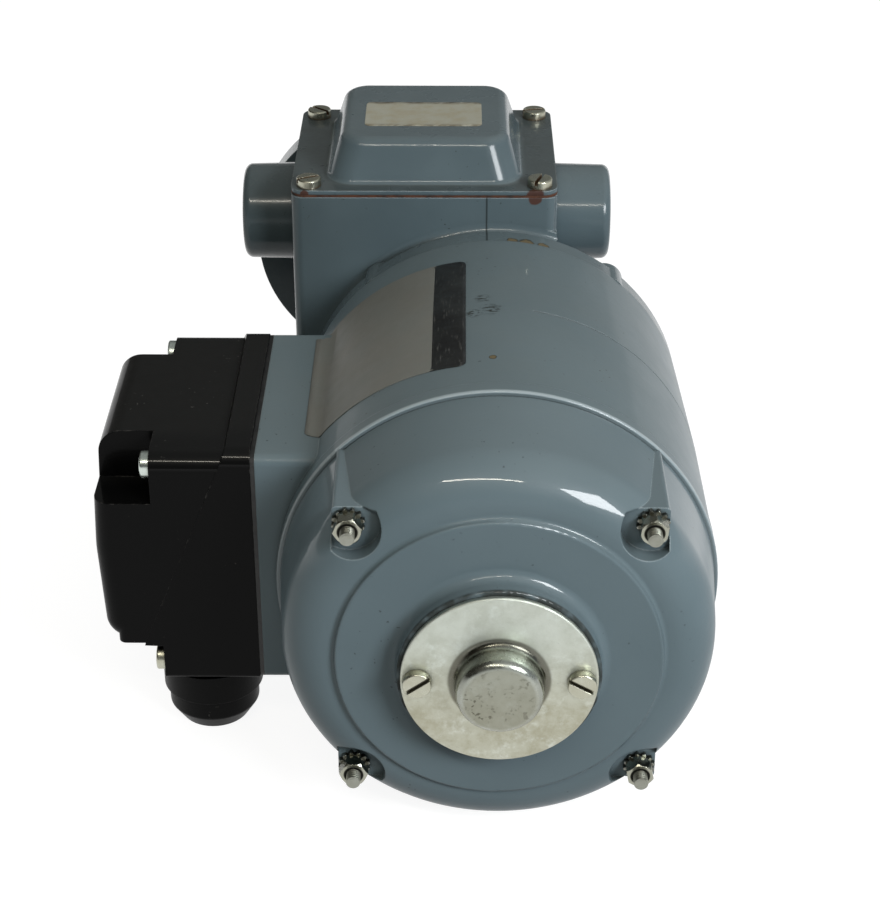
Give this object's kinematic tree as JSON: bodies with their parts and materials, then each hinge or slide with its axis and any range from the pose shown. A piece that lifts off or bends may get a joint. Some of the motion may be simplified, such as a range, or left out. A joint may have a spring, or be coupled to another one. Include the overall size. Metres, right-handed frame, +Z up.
{
  "type": "gear motor",
  "caption": "Flange-mounted three phase gear motor: round smooth body, side terminal box, and a spur and worm gearbox driving a hollow output shaft across its axis.",
  "frame": {"origin": "on the axis of the hollow output shaft, in the middle plane of the worm wheel", "axes": "+X along the output bore to the right seen from the motor, +Y from the motor towards the mounting flange, +Z up towards the gearbox cover"},
  "size_m": [0.1514, 0.216, 0.1267],
  "materials": {
    "grey_paint": "gloss enamel over cast metal",
    "zinc_steel": "zinc plated, dull",
    "bearing_steel": "ground",
    "shaft_steel": "machined",
    "lamination": "varnished sheet stack",
    "cage_aluminium": "die cast",
    "copper": "enamelled wire",
    "bronze": "machined",
    "brass": "bright",
    "black_plastic": "satin moulding",
    "black_rubber": "matt",
    "gasket_paper": "oil soaked, rust stained"
  },
  "bodies": {
    "frame": {"gear_housing": "grey_paint", "stator_housing": "grey_paint", "rear_end_shield": "grey_paint", "bearing_cap": "zinc_steel", "bearing_cap_screws": "zinc_steel", "wave_spring": "bearing_steel", "tie_rods": "zinc_steel", "tie_rod_nuts": "zinc_steel", "tooth_lock_washers": "zinc_steel", "stator_core": "lamination", "stator_winding": "copper", "rear_bearing_outer": "bearing_steel", "drive_bearing_outer": "bearing_steel", "shaft_seal": "black_rubber", "worm_bearing_near_outer": "bearing_steel", "worm_bearing_far_outer": "bearing_steel", "worm_end_cover": "zinc_steel", "worm_end_screws": "zinc_steel", "output_bushes": "bronze", "output_seals": "black_rubber", "top_cover_gasket": "gasket_paper", "top_cover": "grey_paint", "top_cover_screws": "zinc_steel", "terminal_box_gasket": "black_rubber", "terminal_box_base": "black_plastic", "terminal_box_cover": "black_plastic", "terminal_cover_screws": "zinc_steel", "terminal_base_screws": "zinc_steel", "terminal_board": "black_plastic", "terminal_studs": "brass", "terminal_links": "brass", "terminal_nuts": "brass", "gland_body": "black_plastic", "gland_seal": "black_rubber", "gland_nut": "black_plastic"},
    "rotor": {"rotor_shaft": "shaft_steel", "rotor_core": "lamination", "rotor_cage": "cage_aluminium", "rear_bearing_inner": "bearing_steel", "drive_bearing_inner": "bearing_steel"},
    "worm": {"worm_shaft": "shaft_steel", "spur_gear": "shaft_steel", "spur_gear_key": "shaft_steel", "worm_bearing_near_inner": "bearing_steel", "worm_bearing_far_inner": "bearing_steel"},
    "output": {"output_sleeve": "shaft_steel", "worm_wheel": "bronze", "wheel_key": "shaft_steel", "sleeve_circlips": "bearing_steel", "output_spacers": "shaft_steel"}
  },
  "joints": [
    {"name": "rotor_spin", "type": "hinge", "parent": "frame", "child": "rotor", "pos_m": [0.01875, 0, -0.04246], "axis": [0, 1, 0], "continuous": true},
    {"name": "worm_spin", "type": "hinge", "parent": "frame", "child": "worm", "pos_m": [0, 0, -0.033], "axis": [0, 1, 0], "continuous": true},
    {"name": "output_spin", "type": "hinge", "parent": "frame", "child": "output", "pos_m": [0, 0, 0], "axis": [1, 0, 0], "continuous": true}
  ],
  "couplings": [
    {"joint": "worm_spin", "follows": "rotor_spin", "ratio": -0.25},
    {"joint": "output_spin", "follows": "rotor_spin", "ratio": 0.00625}
  ]
}
